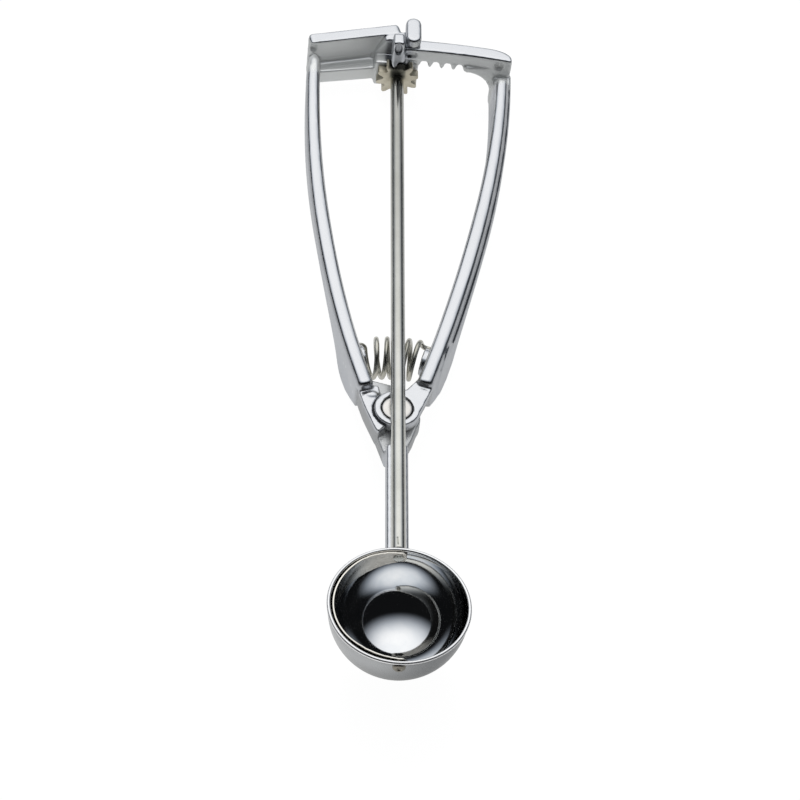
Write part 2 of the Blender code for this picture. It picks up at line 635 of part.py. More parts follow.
def moving_handle(parent, material):
    """One casting: arm, eye, and the crossbar with the rack under it. Its origin is on the rivet."""
    corner_y = RACK_RADIUS + rackbar_front(RACKBAR_RIGHT) + 0.0025
    body = make("moving_handle", arm_web(1, corner_y), parent, material)
    parts = [make("moving_bar", arm_bar(1), parent)]
    parts.append(make("moving_seat", seat_disc(1), parent))
    parts.append(make("moving_peg", seat_peg(1), parent))

    eye = rod_shape(EYE_RADIUS, (0, 0, EYE_TOP - EYE_THICKNESS), (0, 0, EYE_TOP), sides=40)
    parts.append(round_edges(make("moving_eye", eye, parent), 0.0003))
    start_x, start_y = MOVING_START
    cheek = ((0, 0.0060), (0.0027, 0.0071), (start_x - 0.0019, start_y + 0.0020),
             (start_x + 0.0012, start_y + 0.0045), (start_x + 0.0030, start_y + 0.0012),
             (0.0056, -0.0026), (0, -0.0040))
    bridge = prism(cheek, EYE_TOP - EYE_THICKNESS + 0.00004, EYE_TOP - 0.00003)
    parts.append(round_edges(make("moving_bridge", bridge, parent), 0.0003))

    upper = prism(rackbar_outline(RACKBAR_LEFT, RACKBAR_RIGHT, RACKBAR_CORNER), RACK_ROOT, RACKBAR_TOP)
    parts.append(round_edges(make("moving_crossbar", upper, parent), 0.0006))
    last = -(RACK_START + RACK_STEP * (0.5 - RACK_TEETH))
    solid_left = RACK_RADIUS * math.sin(last)
    lower = prism(rackbar_outline(solid_left, RACKBAR_RIGHT - 0.0001, RACKBAR_CORNER), RACKBAR_UNDERSIDE,
                  RACKBAR_TOP - 0.001)
    parts.append(round_edges(make("moving_underside", lower, parent), 0.0004))
    for number in range(RACK_TEETH + 1):
        parts.append(make("moving_tooth_%d" % number, rack_tooth(number), parent))
    parts.append(make("moving_gusset", gusset(), parent))
    nub_face = RACK_RADIUS + NUB_FRONT
    nub = block(RACKBAR_LEFT + 0.0001, NUB_RIGHT, nub_face, RACK_RADIUS + NUB_BACK,
                RACK_ROOT + 0.0001, NUB_TOP)
    parts.append(round_edges(make("moving_nub", nub, parent), 0.0007))
    foot = block(RACKBAR_LEFT, NUB_FOOT_RIGHT, nub_face + 0.0001, RACK_RADIUS + NUB_BACK - 0.0004,
                 RACK_ROOT + 0.0002, RACKBAR_TOP - 0.0002)
    parts.append(round_edges(make("moving_nub_foot", foot, parent), 0.0005))
    combine(body, parts, "UNION")

    cuts = [make("cut_table_moving", table_cutter(), parent)]
    rivet = rod_shape(RIVET_SHANK_RADIUS + GAP, (0, 0, -0.02), (0, 0, 0.01))
    cuts.append(make("cut_eye", rivet, parent))
    sink_floor = EYE_TOP - RIVET_HEAD_HEIGHT - GAP
    sink = rod_shape(RIVET_HEAD_RADIUS + GAP, (0, 0, sink_floor), (0, 0, 0.01), sides=40)
    cuts.append(make("cut_rivet_head", sink, parent))
    bar_face = RACK_RADIUS + RACKBAR_FRONT
    nub_middle = (RACKBAR_LEFT + NUB_RIGHT) / 2
    half_wide, half_high, oval_height = NUB_OVAL
    turns = [k * math.pi / 8 for k in range(16)]
    oval = [(nub_middle + half_wide * math.cos(turn), oval_height + half_high * math.sin(turn))
            for turn in turns]
    pocket = loft([[(x, nub_face + d, z) for x, z in oval] for d in (-0.001, POCKET_DEPTH)])
    cuts.append(make("cut_pocket", pocket, parent))
    slot = block(NUB_FOOT_RIGHT + 0.0004, 0.0051, bar_face - 0.001, bar_face + 0.7 * POCKET_DEPTH,
                 0.0082, 0.0099)
    cuts.append(make("cut_slot", slot, parent))
    combine(body, cuts, "DIFFERENCE")
    return body


def pivot_rivet(parent, material):
    """Flush head in the eye, shank through both castings, domed tail under the washer."""
    tail_top = BOSS_BOTTOM - 2 * GAP - WASHER_THICKNESS
    profile = [(EYE_TOP, 0), (EYE_TOP, RIVET_HEAD_RADIUS), (EYE_TOP - RIVET_HEAD_HEIGHT, RIVET_HEAD_RADIUS),
               (EYE_TOP - RIVET_HEAD_HEIGHT, RIVET_SHANK_RADIUS), (tail_top, RIVET_SHANK_RADIUS),
               (tail_top, RIVET_TAIL_RADIUS)]
    for angle in (30, 60, 90):
        turn = math.radians(angle)
        profile.append((tail_top - RIVET_TAIL_HEIGHT * math.sin(turn), RIVET_TAIL_RADIUS * math.cos(turn)))
    return make("pivot_rivet", turned(profile, UP), parent, material, PIVOT)


def rivet_washer(parent, material):
    top = BOSS_BOTTOM - GAP
    bore = RIVET_SHANK_RADIUS + GAP
    bottom = top - WASHER_THICKNESS
    profile = ((top, bore), (top, WASHER_RADIUS), (bottom, WASHER_RADIUS), (bottom, bore))
    return make("rivet_washer", turned(profile, UP, closed_profile=True), parent, material, PIVOT)


def spring_points():
    """Wire of the return spring, bowed round the point where the two seats' faces meet."""
    left, _, left_up, _ = seat_face(-1)
    right, _, right_up, _ = seat_face(1)
    reach = 0.2
    meet = intersect_line_line_2d(left - left_up * reach, left + left_up * reach,
                                  right - right_up * reach, right + right_up * reach)
    start = left - meet
    end = right - meet
    from_angle = math.atan2(start.x, start.y)
    to_angle = math.atan2(end.x, end.y)
    mean_radius = (start.length + end.length) / 2
    length = (to_angle - from_angle) * mean_radius

    def on_axis(along):
        """Place on the bowed axis and its outward direction."""
        share = along / length
        angle = from_angle + (to_angle - from_angle) * share
        radius = start.length + (end.length - start.length) * share
        out = Vector((math.sin(angle), math.cos(angle)))
        return meet + out * radius, out

    def wire(along, turn):
        place, out = on_axis(along)
        flat = place + out * (COIL_RADIUS * math.cos(turn))
        return Vector((flat.x, flat.y, SPRING_AXIS - COIL_RADIUS * math.sin(turn)))

    straight = 2 * SPRING_WIRE
    bend = 2.5 * SPRING_WIRE
    lead = 0.32
    coil_from = GAP + straight + bend
    coil_to = length - coil_from
    total = 2 * math.pi * SPRING_CURLS
    points = [wire(GAP, 0), wire(GAP + straight, 0)]
    bends = (math.pi / 6, math.pi / 3)
    for way in bends:
        points.append(wire(GAP + straight + bend * math.sin(way), lead * (1 - math.cos(way))))
    steps = SPRING_CURLS * SPRING_POINTS
    for k in range(steps + 1):
        share = k / steps
        points.append(wire(coil_from + (coil_to - coil_from) * share, lead + (total - 2 * lead) * share))
    for way in reversed(bends):
        along = length - GAP - straight - bend * math.sin(way)
        points.append(wire(along, total - lead * (1 - math.cos(way))))
    points.append(wire(length - GAP - straight, total))
    points.append(wire(length - GAP, total))
    return points


def least_gap(points):
    """Smallest clear distance between one curl's wire and the next one's."""
    least = 1.0
    for i, first in enumerate(points):
        for second in points[i + SPRING_POINTS // 2:]:
            least = min(least, (first - second).length - 2 * SPRING_WIRE)
    return least


def return_spring(parent, material):
    points = spring_points()
    curve = bpy.data.curves.new("return_spring", "CURVE")
    curve.dimensions = "3D"
    curve.bevel_depth = SPRING_WIRE
    curve.bevel_resolution = 1
    curve.use_fill_caps = True
    spline = curve.splines.new("POLY")
    spline.points.add(len(points) - 1)
    for target, point in zip(spline.points, points):
        target.co = (*point, 1)
    curve.materials.append(material)
    spring = bpy.data.objects.new("return_spring", curve)
    bpy.context.scene.collection.objects.link(spring)
    spring.parent = parent
    spring.location = PIVOT
    print("spring: least gap between curls %.2f mm" % (1000 * least_gap(points)))
    return spring


def peen(seat):
    """Profile of a hammered end, from its middle out to where it bears on the scraper."""
    return ((seat - PEEN_HEIGHT, 0), (seat - PEEN_HEIGHT, 0.7 * PEEN_RADIUS),
            (seat - PEEN_HEIGHT / 2, PEEN_RADIUS), (seat, PEEN_RADIUS))


def drive_rod(parent, material):
    """Plain bar with a neck through the bowl's wall, a peened end in the scraper, and a crease."""
    inside = BOWL_RADIUS - BOWL_WALL - GAP - SCRAPER_SHEET - GAP
    shoulder = BOWL_RADIUS + GAP
    bearing_back = PINION_Y + PINION_WIDTH / 2 + GAP + BEARING_LENGTH
    end = bearing_back + ROD_TAIL
    profile = (*peen(inside), (inside, NECK_RADIUS), (shoulder, NECK_RADIUS),
               (shoulder, ROD_RADIUS - ROD_EDGE), (shoulder + ROD_EDGE, ROD_RADIUS),
               (end - ROD_EDGE, ROD_RADIUS), (end, ROD_RADIUS - ROD_EDGE), (end, 0))
    rod = make("drive_rod", turned(profile, (0, 1, 0)), parent, material)
    from_bowl = BOWL_RADIUS + CREASE_FROM_BOWL
    crease = block(-CREASE_WIDTH / 2, CREASE_WIDTH / 2, from_bowl, from_bowl + CREASE_LENGTH,
                   ROD_RADIUS - CREASE_DEPTH, ROD_RADIUS + 0.001)
    combine(rod, [make("cut_crease", crease, parent)], "DIFFERENCE")
    return rod


def pinion(parent, material):
    gear = make("pinion", pinion_shape(), parent, material)
    bore = rod_shape(BORE_RADIUS, (0, PINION_Y - 0.01, 0), (0, PINION_Y + 0.01, 0))
    combine(gear, [make("cut_pinion_bore", bore, parent)], "DIFFERENCE")
    return gear


def bowl(parent, material):
    """A ball's lower half with a short straight collar, and holes for the neck and the pin."""
    inner = BOWL_RADIUS - BOWL_WALL
    lip = BOWL_WALL / 4
    rows = 12
    turns = [k * math.pi / 2 / rows for k in range(rows + 1)]
    profile = [(-BOWL_RADIUS * math.cos(turn), BOWL_RADIUS * math.sin(turn)) for turn in turns]
    profile += [(BOWL_COLLAR - lip, BOWL_RADIUS), (BOWL_COLLAR, BOWL_RADIUS - lip),
                (BOWL_COLLAR, inner + lip), (BOWL_COLLAR - lip, inner)]
    profile += [(-inner * math.sin(turn), inner * math.cos(turn)) for turn in turns]
    cup = make("bowl", turned(profile, UP, sides=56), parent, material)
    neck = rod_shape(NECK_RADIUS + GAP, (0, BOWL_RADIUS - 0.004, 0), (0, BOWL_RADIUS + 0.004, 0), sides=24)
    ahead = -BOWL_RADIUS
    front = rod_shape(PIN_RADIUS + GAP, (0, ahead - 0.004, 0), (0, ahead + 0.004, 0), sides=24)
    holes = [make("cut_neck_hole", neck, parent), make("cut_pin_hole", front, parent)]
    combine(cup, holes, "DIFFERENCE")
    return cup


def scraper_half_width(angle):
    """The band's half width at an angle from the rear tab, alike at both ends."""
    from_end = min(angle, math.pi - angle)
    share = min(1.0, max(0.0, from_end / math.radians(TAB_TAPER_DEG)))
    eased = share * share * (3 - 2 * share)
    return TAB_HALF_WIDTH + (SCRAPER_HALF_WIDTH - TAB_HALF_WIDTH) * eased


def scraper(parent, material):
    """A strip bent round half the ball, from the rod's neck to the pin. Its rear tab has a round end."""
    outer = BOWL_RADIUS - BOWL_WALL - GAP
    inner = outer - SCRAPER_SHEET
    rest = math.radians(180 + SCRAPER_REST_DEG)
    ahead = Vector((0, 1, 0))
    side = Vector((math.cos(rest), 0, math.sin(rest)))
    across = ahead.cross(side)
    past = TAB_LENGTH / outer
    angles = [-past * math.cos(k * math.pi / 8) for k in range(4)]
    steps = 30
    angles += [math.pi * k / steps for k in range(steps + 1)] + [math.pi + past]
    rings = []
    for angle in angles:
        half = scraper_half_width(angle) / outer
        if angle < 0:
            half *= math.sqrt(max(0.12, 1 - (angle / past) ** 2))
        ring = []
        spread = [half * k / 2 for k in (-2, -1, 0, 1, 2)]
        for radius, turns in ((outer, spread), (inner, spread[::-1])):
            for turn in turns:
                along = (ahead * math.cos(angle) + side * math.sin(angle)) * math.cos(turn)
                ring.append((along + across * math.sin(turn)) * radius)
        rings.append(ring)
    blade = make("scraper", loft(rings), parent, material)
    neck = rod_shape(NECK_RADIUS + GAP, (0, 0.01, 0), (0, 0.03, 0), sides=24)
    front = rod_shape(PIN_RADIUS + GAP, (0, -0.01, 0), (0, -0.03, 0), sides=24)
    combine(blade, [make("cut_neck_tab", neck, parent), make("cut_pin_tab", front, parent)], "DIFFERENCE")
    return blade


def scraper_pin(parent, material):
    """Rivet in the scraper's front tab. Its shank turns in the bowl's front hole."""
    inside = BOWL_RADIUS - BOWL_WALL - GAP - SCRAPER_SHEET - GAP
    profile = (*peen(inside), (inside, PIN_RADIUS), (BOWL_RADIUS - 0.0002, PIN_RADIUS),
               (BOWL_RADIUS + 0.0002, 0.6 * PIN_RADIUS), (BOWL_RADIUS + 0.0003, 0))
    return make("scraper_pin", turned(profile, (0, -1, 0), sides=24), parent, material)


def world_bounds(items):
    depsgraph = bpy.context.evaluated_depsgraph_get()
    corners = []
    for item in items:
        solid = item.evaluated_get(depsgraph)
        mesh = solid.to_mesh()
        corners += [solid.matrix_world @ vertex.co for vertex in mesh.vertices]
        solid.to_mesh_clear()
    low = Vector([min(c[i] for c in corners) for i in range(3)])
    high = Vector([max(c[i] for c in corners) for i in range(3)])
    return low, high


def main():
    clear_scene()
    cast = metal("cast_aluminium", (0.66, 0.68, 0.70), 0.20)
    nickel = metal("nickel_steel", (0.60, 0.57, 0.51), 0.24)
    mirror = metal("polished_steel", (0.72, 0.73, 0.75), 0.06)
    brass = metal("warm_steel", (0.66, 0.62, 0.52), 0.22)

    tool = empty("tool_frame")
    tool.rotation_euler = (-rest_tilt(), 0, 0)
    squeeze = empty("squeeze_axis", tool, PIVOT)
    turning = empty("rod_axis", tool)

    nodes = [fixed_handle(tool, cast), moving_handle(squeeze, cast), bowl(tool, mirror)]
    nodes += [pivot_rivet(tool, nickel), rivet_washer(tool, nickel), return_spring(tool, nickel)]
    nodes += [drive_rod(turning, nickel), pinion(turning, nickel)]
    nodes += [scraper(turning, brass), scraper_pin(turning, brass)]

    bpy.context.view_layer.update()
    low, high = world_bounds(nodes)
    tool.location = (-(low.x + high.x) / 2, -(low.y + high.y) / 2, -low.z)
    bpy.context.view_layer.update()

    size = (high - low) * 1000
    print("size %.1f x %.1f x %.1f mm" % tuple(size))
    for name, place, axis in (("squeeze", squeeze, UP), ("rod", turning, Vector((0, -1, 0)))):
        point = place.matrix_world.translation
        way = place.matrix_world.to_3x3() @ axis
        print("%s axis through (%.6f, %.6f, %.6f) along (%.6f, %.6f, %.6f)" % (name, *point, *way))


main()
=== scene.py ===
import json
import math

import bpy
from mathutils import Matrix, Vector


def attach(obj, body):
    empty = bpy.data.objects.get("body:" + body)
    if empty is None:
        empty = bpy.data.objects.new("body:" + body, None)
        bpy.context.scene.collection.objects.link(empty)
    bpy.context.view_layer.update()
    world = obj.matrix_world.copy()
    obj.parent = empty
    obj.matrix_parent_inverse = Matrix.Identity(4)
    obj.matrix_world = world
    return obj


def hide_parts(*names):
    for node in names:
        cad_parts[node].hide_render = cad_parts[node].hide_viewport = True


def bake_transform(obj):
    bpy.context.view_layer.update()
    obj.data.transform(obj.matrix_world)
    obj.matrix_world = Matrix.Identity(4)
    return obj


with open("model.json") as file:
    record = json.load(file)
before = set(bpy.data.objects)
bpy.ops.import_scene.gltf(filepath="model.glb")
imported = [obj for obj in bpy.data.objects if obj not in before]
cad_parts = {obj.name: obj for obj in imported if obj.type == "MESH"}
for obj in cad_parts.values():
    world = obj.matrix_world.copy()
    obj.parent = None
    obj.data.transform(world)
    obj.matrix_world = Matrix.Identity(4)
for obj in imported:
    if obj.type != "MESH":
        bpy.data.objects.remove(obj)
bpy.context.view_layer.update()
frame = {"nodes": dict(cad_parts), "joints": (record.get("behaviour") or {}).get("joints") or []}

# Sizes in metres, as the solids have them
BOWL_RADIUS = 0.0182
BOWL_WALL = 0.0006
BOWL_COLLAR = 0.0021
LIP_RADIUS = 0.00052
SCRAPER_SHEET = 0.0006
SCRAPER_HALF_WIDTH = 0.0032
TAB_HALF_WIDTH = 0.0019
TAB_PAST_AXIS = 0.0022
TAB_TAPER_DEG = 34.0
SCRAPER_REST_DEG = 5.5
SMALL_GAP = 0.0003
BAND_SHOWS_GAP = 0.00012    # the band's sheet is thinner than the solid's, so that the gap to the rim shows
ROD_RADIUS = 0.0020
ROD_END = 0.2109
ROD_END_CHAMFER = 0.0004
SHOULDER_CHAMFER = 0.0003
CREASE_SIZE = (0.0004, 0.0026, 0.0007)
CREASE_TURN = (0, 0.5, 0.06)
NECK_RADIUS = 0.0013
PEEN_RADIUS = 0.0014
PEEN_HEIGHT = 0.00006
PIN_RADIUS = 0.0012
PIN_HEAD_RADIUS = 0.0017
PIN_HEAD_HEIGHT = 0.0008
PIVOT_Y = 0.0706
PINION_Y = 0.2010
PINION_BORE = 0.0023
BROKEN_EDGE = 0.00014
EYE_TOP = -0.0025
RIVET_HEAD_RADIUS = 0.0041
RIVET_HEAD_HEIGHT = 0.0012
RIVET_SHANK_RADIUS = 0.0026
RIVET_TAIL_RADIUS = 0.0040
RIVET_TAIL_HEIGHT = 0.0012
BOSS_BOTTOM = -0.0109
WASHER_RADIUS = 0.0050
WASHER_THICKNESS = 0.0008
SPRING_RADIUS = 0.0054
SPRING_WIRE = 0.0007
SPRING_CURLS = 5
SPRING_AXIS = -0.00855
SPRING_STRAIGHT = 2 * SPRING_WIRE
SPRING_BEND = 2.5 * SPRING_WIRE
SPRING_LEAD = 0.32
SEAT_LEFT = Vector((-0.01089, 0.022028))    # middle of each seat's face, from the rivet
SEAT_LEFT_FACES = Vector((0.966229, 0.257683))
SEAT_RIGHT = Vector((0.009564, 0.022097))
SEAT_RIGHT_FACES = Vector((-0.958381, 0.285491))

# Small forms of the castings: the middle of each from the rivet, and its half sizes
CHEEK_OVAL = ((-0.0070, 0.0050, -0.0036), (0.0020, 0.0013, 0.0009))
LEFT_BAR_END = ((-0.0253, 0.1268, 0.0056), (0.0017, 0.0052, 0.0015))
LEFT_HOLLOW = ((-0.0261, 0.1326, 0.0076), (0.0014, 0.0010, 0.0013))
RIGHT_HOLLOW = ((0.0299, 0.1280, 0.0086), (0.0014, 0.0013, 0.0016))
CASTING_NET = 0.00031
CASTING_EASE = 4

# The photograph's camera, in the tool's frame
LOOK_DOWN_DEG = 48.7
LEAN_DEG = 5.0
ROLL = -0.0036
AIM = Vector((0, 0.0693, 0.0021))
CAMERA_DISTANCE = 0.7776
LENS = 129.15
LENS_SHIFT = 0.0015

# Ways to the lights
SOFT_WAY = Vector((-0.09, 0.55, 0.83)).normalized()
FRONT_WAY = Vector((0.15, -0.85, 0.55)).normalized()
LIGHT_DISTANCE = 1.6
LIGHT_SIZE = 0.8

joints = {joint["name"]: joint for joint in frame["joints"]}
bowl_middle = Vector(joints["rod_turn"]["pos_m"])
towards_handles = -Vector(joints["rod_turn"]["axis"])
rest_tilt = math.atan2(-towards_handles.z, towards_handles.y)
TOOL = Matrix.Translation(bowl_middle) @ Matrix.Rotation(-rest_tilt, 4, "X")


class Wire:
    """One socket of a material, used in plain arithmetic."""

    def __init__(self, graph, socket):
        self.graph = graph
        self.socket = socket

    def sum(self, operation, first, second):
        return self.graph.add("ShaderNodeMath", {"operation": operation}, {0: first, 1: second})

    def __add__(self, other):
        return self.sum("ADD", self, other)

    def __radd__(self, other):
        return self.sum("ADD", other, self)

    def __sub__(self, other):
        return self.sum("SUBTRACT", self, other)

    def __rsub__(self, other):
        return self.sum("SUBTRACT", other, self)

    def __mul__(self, other):
        return self.sum("MULTIPLY", self, other)

    def __rmul__(self, other):
        return self.sum("MULTIPLY", other, self)

    def __pow__(self, other):
        return self.sum("POWER", self, other)

    def between(self, low, high, to_low=0.0, to_high=1.0):
        """The value, eased from one range to another."""
        settings = {"interpolation_type": "SMOOTHSTEP"}
        sockets = {0: self, 1: low, 2: high, 3: to_low, 4: to_high}
        return self.graph.add("ShaderNodeMapRange", settings, sockets)


class Graph:
    """The nodes of one material or of the world."""

    def __init__(self, tree):
        self.tree = tree
        tree.nodes.clear()

    def add(self, kind, settings=None, sockets=None, output=0):
        node = self.tree.nodes.new(kind)
        for name, value in (settings or {}).items():
            setattr(node, name, value)
        for key, value in (sockets or {}).items():
            if isinstance(value, Wire):
                self.tree.links.new(value.socket, node.inputs[key])
            else:
                node.inputs[key].default_value = value
        return Wire(self, node.outputs[output])

    def place(self):
        return self.add("ShaderNodeTexCoord", output="Object")

    def moved(self, vector, location=(0, 0, 0), turn=(0, 0, 0), scale=(1, 1, 1)):
        return self.add("ShaderNodeMapping", {"vector_type": "POINT"},
                        {"Vector": vector, "Location": location, "Rotation": turn, "Scale": scale})

    def noise(self, vector, scale, detail=2.0, roughness=0.5):
        return self.add("ShaderNodeTexNoise", {},
                        {"Vector": vector, "Scale": scale, "Detail": detail, "Roughness": roughness})

    def blend(self, share, first, second, kind="MIX"):
        """Two colours mixed by a share."""
        return self.add("ShaderNodeMix", {"data_type": "RGBA", "blend_type": kind},
                        {0: share, 6: first, 7: second}, output=2)

    def parts(self, vector):
        """The x, y and z of a vector."""
        first = self.add("ShaderNodeSeparateXYZ", {}, {0: vector})
        return [Wire(self, socket) for socket in first.socket.node.outputs]

    def bump(self, height, strength, distance, below=None):
        sockets = {"Height": height, "Strength": strength, "Distance": distance}
        if below is not None:
            sockets["Normal"] = below
        return self.add("ShaderNodeBump", {}, sockets)


def new_material(name):
    material = bpy.data.materials.new(name)
    material.use_nodes = True
    return material, Graph(material.node_tree)


def output(graph, shader, kind="ShaderNodeOutputMaterial"):
    target = graph.tree.nodes.new(kind)
    graph.tree.links.new(shader.socket, target.inputs["Surface"])


def finish_metal(graph, colour, roughness, normal, metallic=1.0):
    sockets = {"Base Color": colour, "Metallic": metallic, "Roughness": roughness, "Normal": normal}
    output(graph, graph.add("ShaderNodeBsdfPrincipled", {}, sockets))


def scratches(graph, place, turn, length, width, amount):
    """Fine straight scratches: 1 on a scratch and 0 elsewhere."""
    lined = graph.moved(place, turn=turn, scale=(1 / width, 1 / length, 1 / width))
    return graph.noise(lined, 1.0, 1.0).between(1 - amount, 1 - 0.4 * amount)


def in_tool_frame(graph):
    """Place from the bowl's middle, level with its rim: the vector and its x, y and z."""
    place = graph.moved(graph.place(), location=tuple(-bowl_middle))
    level = graph.moved(place, turn=(rest_tilt, 0, 0))
    return (level, *graph.parts(level))


def cast_handle_metal():
    """Polished casting: tops polished smooth and painted lighter as a painted highlight, satin sides, and
    rougher hollows with painted shade; the pivot plate is rougher with painted shade, and the crossbars
    rougher and painted lighter as painted light.
    """
    material, graph = new_material("cast_handle_metal")
    place = graph.place()
    up = graph.parts(graph.add("ShaderNodeNewGeometry", output="Normal"))[2]
    edge = graph.add("ShaderNodeNewGeometry", output="Pointiness")
    # Faces turned up are polished smoother, and their colour is painted lighter below: a painted highlight.
    polish_and_painted_highlight = up.between(0.25, 0.92)
    # Concave hollows: made rougher, and painted darker below as painted shade.
    rough_hollow_painted_shade = edge.between(0.497, 0.455)
    worn = edge.between(0.515, 0.56)
    cloud = graph.noise(place, 70, 4, 0.55)
    grain = graph.noise(place, 3200, 2)
    lines = graph.noise(graph.moved(place, scale=(2600, 60, 2600)), 1.0, 2)
    nicks = scratches(graph, place, (0, 0, 0.6), 0.006, 0.00012, 0.28)
    tone = graph.blend(cloud.between(0.3, 0.7), (0.52, 0.54, 0.57, 1), (0.60, 0.615, 0.64, 1))
    # Painted highlight: faces turned up painted lighter.
    tone = graph.blend(polish_and_painted_highlight * 0.7, tone, (0.74, 0.75, 0.77, 1))
    tone = graph.blend(worn * 0.45, tone, (0.80, 0.81, 0.82, 1))
    # Painted shade: the hollows painted dark.
    tone = graph.blend(rough_hollow_painted_shade * 0.5, tone, (0.28, 0.29, 0.31, 1))
    x, y, z = in_tool_frame(graph)[1:]
    from_pivot = (x * x + (y - PIVOT_Y) ** 2) ** 0.5
    plate = z.between(-0.0040, -0.0050) * from_pivot.between(0.0150, 0.0120)
    polished_top = up.between(0.3, 0.6) * z.between(0.0085, 0.0094)
    crossbar = y.between(0.1925, 0.1950) * ((x * x) ** 0.5).between(0.0030, 0.0045) * (1.0 - polished_top)
    unpolished = plate + crossbar
    # Pivot plate: its colour is painted darker as painted shade; it is also made rougher and less metallic.
    tone = graph.blend(plate * 0.8, tone, (0.56, 0.57, 0.57, 1))
    # Crossbar walls: their colour is painted lighter as painted light, where little light reaches; they are
    # also rougher and less metallic.
    tone = graph.blend(crossbar * 0.8, tone, (0.86, 0.875, 0.86, 1))
    roughness = 0.42 - 0.26 * polish_and_painted_highlight + 0.10 * (cloud - 0.5) + 0.08 * (lines - 0.5) + 0.10 * nicks
    roughness = roughness + 0.08 * rough_hollow_painted_shade + 0.14 * unpolished
    satin = graph.bump(grain, 0.16, 0.00006)
    drawn = graph.bump(lines - 0.6 * nicks, 0.05, 0.00005, satin)
    soft = graph.bump(graph.noise(place, 240, 2), 0.07, 0.0004, drawn)
    finish_metal(graph, tone, roughness, soft, 1.0 - 0.35 * unpolished)
    return material


def bowl_mirror():
    """Spun steel: a mirror with faint rings and smudges inside, satin outside with painted shade, darker
    towards the bottom and the +X side, and a lip painted near white as a painted highlight.
    """
    material, graph = new_material("bowl_mirror")
    level, x, y, height = in_tool_frame(graph)
    radius = (x * x + y * y) ** 0.5
    below = graph.add("ShaderNodeMath", {"operation": "MINIMUM"}, {0: height, 1: 0.0})
    from_middle = (radius * radius + below * below) ** 0.5
    outside = from_middle.between(BOWL_RADIUS - 0.7 * BOWL_WALL, BOWL_RADIUS - 0.2 * BOWL_WALL)
    lip = height.between(BOWL_COLLAR - 2.4 * LIP_RADIUS, BOWL_COLLAR - 1.7 * LIP_RADIUS)
    rings = graph.noise(graph.add("ShaderNodeCombineXYZ", {}, {0: radius * 5200, 1: height * 5200}), 1.0, 3)
    smudge = graph.noise(level, 130, 4, 0.6)
    specks = graph.noise(level, 1900, 2).between(0.68, 0.8)
    grain = graph.noise(level, 2400, 2)
    tone = graph.blend(smudge.between(0.35, 0.7), (0.74, 0.76, 0.78, 1), (0.82, 0.825, 0.83, 1))
    # Painted shade outside the bowl: darker towards the bottom, and darker towards the +X side.
    satin = graph.blend(height.between(-0.0125, -0.001), (0.16, 0.165, 0.165, 1), (0.46, 0.47, 0.475, 1))
    satin = graph.blend(x.between(-0.006, 0.016) * 0.5, satin, (0.10, 0.105, 0.11, 1))
    tone = graph.blend(outside, tone, satin)
    # Painted highlight: the rolled lip painted near white.
    tone = graph.blend(lip, tone, (0.93, 0.93, 0.93, 1))
    roughness = 0.035 + 0.05 * smudge.between(0.45, 0.8) + 0.03 * rings + 0.04 * specks
    roughness = roughness + outside * (0.22 + 0.06 * (grain - 0.5)) + 0.05 * lip
    fine = graph.bump(rings, 0.012, 0.00004)
    finish_metal(graph, tone, roughness, fine)
    return material


def drawn_steel(name, light, dark, base_roughness, along=(2400, 30, 2400), darker_span=None, pale=None):
    """Warm steel, lined and clouded; darker between two places on the Y axis, or paler, if asked."""
    material, graph = new_material(name)
    place = graph.place()
    lines = graph.noise(graph.moved(place, scale=along), 1.0, 3)
    cloud = graph.noise(place, 95, 4, 0.6)
    specks = graph.noise(place, 1500, 2).between(0.66, 0.78)
    tone = graph.blend(cloud.between(0.3, 0.72), (*dark, 1), (*light, 1))
    tone = graph.blend(specks * 0.4, tone, tuple(0.45 * c for c in dark) + (1,))
    # The tone is made darker from the first place on the Y axis, fully from the second on.
    if darker_span:
        y = in_tool_frame(graph)[2]
        tone = graph.blend(y.between(*darker_span) * 0.55, tone, tuple(0.5 * c for c in dark) + (1,))
    roughness = base_roughness + 0.10 * (lines - 0.5) + 0.07 * (cloud - 0.5) + 0.12 * specks
    fine = graph.bump(lines, 0.06, 0.00004)
    metallic = 1.0
    if pale:
        share = in_tool_frame(graph)[2].between(*pale)
        metallic = 1.0 - 0.8 * share
        roughness = roughness + 0.12 * share
    finish_metal(graph, tone, roughness, fine, metallic)
    return material


def turned_steel(name, light, dark, base_roughness, middle):
    """Steel faced on a lathe: fine rings round an upright axis through the middle, and a ring of painted
    shade near the rim of the rivet's head.
    """
    material, graph = new_material(name)
    place = graph.moved(graph.place(), location=tuple(-middle))
    x, y, z = graph.parts(graph.moved(place, turn=(rest_tilt, 0, 0)))
    radius = (x * x + y * y) ** 0.5
    rings = graph.noise(graph.add("ShaderNodeCombineXYZ", {}, {0: radius * 4200, 1: z * 4200}), 1.0, 2)
    cloud = graph.noise(place, 260, 3)
    # A ring near the rim of the rivet's head is painted darker: painted shade.
    edge = radius.between(0.0036, 0.0041)
    tone = graph.blend(cloud.between(0.3, 0.7), (*dark, 1), (*light, 1))
    tone = graph.blend(edge * 0.3, tone, tuple(0.6 * c for c in dark) + (1,))
    roughness = base_roughness + 0.10 * (rings - 0.5) + 0.06 * (cloud - 0.5)
    finish_metal(graph, tone, roughness, graph.bump(rings, 0.07, 0.00004))
    return material


